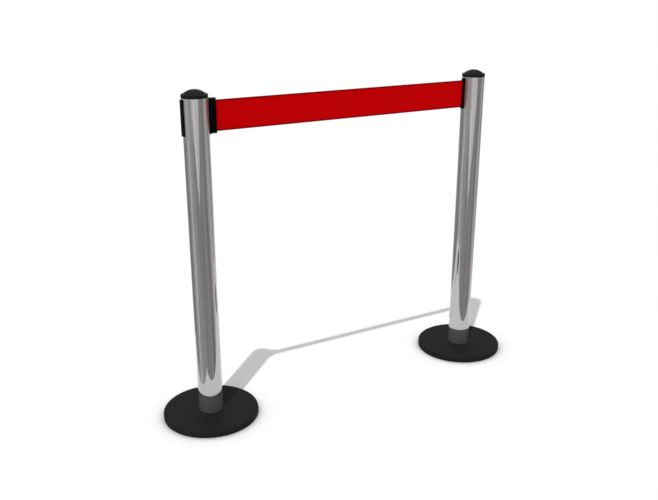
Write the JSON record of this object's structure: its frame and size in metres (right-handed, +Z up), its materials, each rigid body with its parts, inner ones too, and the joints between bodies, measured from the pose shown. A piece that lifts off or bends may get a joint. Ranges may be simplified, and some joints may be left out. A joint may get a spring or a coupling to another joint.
{
  "type": "retractable belt barrier",
  "caption": "Pair of free-standing polished posts on flat round bases, joined by a wide red belt that winds into a sprung cassette in one post.",
  "frame": {"origin": "on the floor, midway between the two posts", "axes": "+Z up, +X from the left post to the right post along the belt, +Y away from the side it is viewed from"},
  "size_m": [1.285, 0.296, 1.016],
  "materials": {
    "polished_tube": "polished stainless steel",
    "black_cover": "black textured powder coat",
    "cast_weight": "raw casting",
    "ring_rubber": "matte",
    "collar_plastic": "matte dark grey",
    "cap_plastic": "satin black",
    "black_plastic": "satin black",
    "core_plastic": "moulded black",
    "roller_plastic": "natural acetal",
    "belt_webbing": "woven red polyester",
    "plain_steel": "zinc plated",
    "bolt_steel": "zinc plated",
    "black_screw": "black oxide",
    "spring_steel": "blued spring steel",
    "bush_bronze": "sintered bronze",
    "shoe_metal": "sintered metal"
  },
  "bodies": {
    "right_post": {"right_floor_ring": "ring_rubber", "right_base_weight": "cast_weight", "right_base_cover": "black_cover", "right_base_bolt": "bolt_steel", "right_base_washer": "bolt_steel", "right_collar": "collar_plastic", "right_tube_foot": "plain_steel", "right_tube": "polished_tube", "right_cap": "cap_plastic", "outlet_nose": "black_plastic", "cassette_seat": "plain_steel", "cassette_floor": "plain_steel", "cassette_mid_plate": "plain_steel", "cassette_top_plate": "plain_steel", "cassette_pillars": "plain_steel", "cassette_screws": "bolt_steel", "reel_shaft": "plain_steel", "thrust_washer": "plain_steel", "brake_drum": "plain_steel", "roller_pins": "plain_steel", "belt": "belt_webbing"},
    "left_post": {"left_floor_ring": "ring_rubber", "left_base_weight": "cast_weight", "left_base_cover": "black_cover", "left_base_bolt": "bolt_steel", "left_base_washer": "bolt_steel", "left_collar": "collar_plastic", "left_tube_foot": "plain_steel", "left_tube": "polished_tube", "left_cap": "cap_plastic", "receiver_core": "core_plastic", "free_receiver": "black_plastic", "belt_receiver": "black_plastic", "receiver_screws": "black_screw"},
    "belt_clip": {"clip_body": "black_plastic", "clip_cover": "black_plastic", "clip_screws": "black_screw", "clip_pin": "plain_steel"},
    "reel": {"reel": "core_plastic", "reel_bushes": "bush_bronze", "belt_roll": "belt_webbing", "spring_case": "core_plastic", "spring_case_lid": "core_plastic", "mainspring": "spring_steel", "brake_pins": "plain_steel"},
    "shoe_a": {"brake_shoe_a": "shoe_metal"},
    "shoe_b": {"brake_shoe_b": "shoe_metal"},
    "back_roller": {"roller_back": "roller_plastic"},
    "front_roller": {"roller_front": "roller_plastic"}
  },
  "joints": [
    {"name": "belt_pull", "type": "slide", "parent": "right_post", "child": "left_post", "axis": [-1, 0, 0], "range_m": [-0.45, 1.2], "deforming": ["belt"]},
    {"name": "clip_lift", "type": "slide", "parent": "left_post", "child": "belt_clip", "axis": [0, 0, 1], "range_m": [0, 0.0125], "deforming": ["belt"]},
    {"name": "reel_spin", "type": "hinge", "parent": "right_post", "child": "reel", "pos_m": [0.4975, 0, 0.93], "axis": [0, 0, 1], "range_deg": [-1600, 4150], "deforming": ["mainspring"]},
    {"name": "back_roller_spin", "type": "hinge", "parent": "right_post", "child": "back_roller", "pos_m": [0.4639, 0.0039, 0.93], "axis": [0, 0, 1], "range_deg": [-23000, 8700]},
    {"name": "front_roller_spin", "type": "hinge", "parent": "right_post", "child": "front_roller", "pos_m": [0.4639, -0.0039, 0.93], "axis": [0, 0, 1], "range_deg": [-8700, 23000]},
    {"name": "shoe_swing", "type": "hinge", "parent": "reel", "child": "shoe_a", "pos_m": [0.50957, -0.01545, 0.855], "axis": [0, 0, -1], "range_deg": [0, 4.4]},
    {"name": "second_shoe_swing", "type": "hinge", "parent": "reel", "child": "shoe_b", "pos_m": [0.48543, 0.01545, 0.855], "axis": [0, 0, -1], "range_deg": [0, 4.4]}
  ],
  "couplings": [
    {"joint": "reel_spin", "follows": "belt_pull", "rad_per_m": 59.5},
    {"joint": "back_roller_spin", "follows": "belt_pull", "rad_per_m": -333.3},
    {"joint": "front_roller_spin", "follows": "belt_pull", "rad_per_m": 333.3},
    {"joint": "second_shoe_swing", "follows": "shoe_swing", "ratio": 1}
  ]
}
